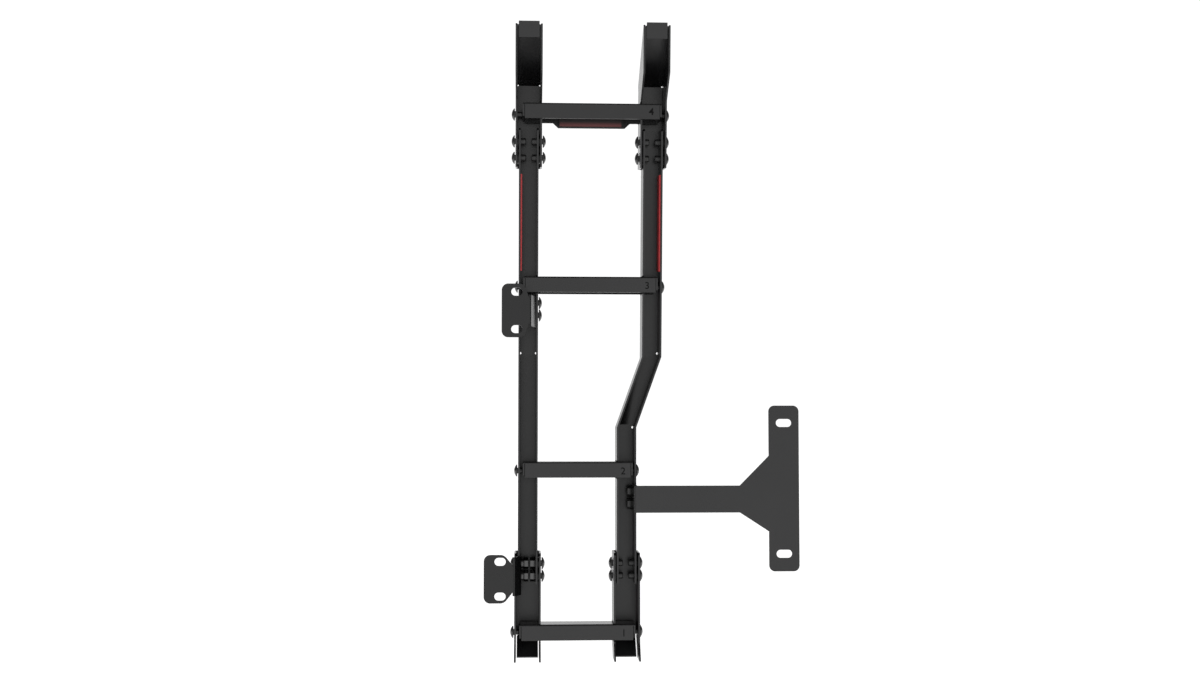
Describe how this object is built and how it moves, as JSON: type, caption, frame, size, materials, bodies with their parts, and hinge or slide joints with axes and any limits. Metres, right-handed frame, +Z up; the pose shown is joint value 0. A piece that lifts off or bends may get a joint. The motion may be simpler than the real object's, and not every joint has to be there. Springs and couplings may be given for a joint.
{
  "type": "vehicle rear door ladder",
  "caption": "Bolt-on rear door ladder: two folded channel stiles with hooked tops, four level rungs and three slotted door brackets.",
  "frame": {"origin": "middle of the tee bracket's door face, the flat face that is bolted to the door", "axes": "+Z up along the stiles, -Y out of the bracket's face to the door, +X from the left stile to the right as seen from the door"},
  "size_m": [0.5325, 0.1728, 1.064],
  "materials": {
    "black_coat": "black powder coat, fine satin",
    "red_plate": "red coat, satin",
    "fasteners": "blackened steel, satin"
  },
  "bodies": {
    "root": {"left_hook": "black_coat", "right_hook": "black_coat", "left_mid_stile": "black_coat", "right_mid_stile": "black_coat", "left_foot": "black_coat", "right_foot": "black_coat", "rung_1": "black_coat", "rung_2": "black_coat", "rung_3": "black_coat", "rung_4": "black_coat", "rung_4_backing": "red_plate", "left_red_strip": "red_plate", "right_red_strip": "red_plate", "upper_left_bracket": "black_coat", "lower_left_bracket": "black_coat", "tee_bracket": "black_coat", "top_left_bolts": "fasteners", "top_left_nuts": "fasteners", "top_left_spacers": "fasteners", "top_right_bolts": "fasteners", "top_right_nuts": "fasteners", "top_right_spacers": "fasteners", "bottom_left_bolts": "fasteners", "bottom_left_nuts": "fasteners", "bottom_left_spacers": "fasteners", "bottom_right_bolts": "fasteners", "bottom_right_nuts": "fasteners", "bottom_right_spacers": "fasteners", "rung_1_bolts": "fasteners", "rung_1_nuts": "fasteners", "rung_2_bolts": "fasteners", "rung_2_nuts": "fasteners", "rung_3_bolts": "fasteners", "rung_3_nuts": "fasteners", "rung_4_bolts": "fasteners", "rung_4_nuts": "fasteners", "upper_left_bracket_bolts": "fasteners", "upper_left_bracket_nuts": "fasteners", "tee_bracket_bolts": "fasteners", "tee_bracket_nuts": "fasteners"}
  },
  "joints": []
}
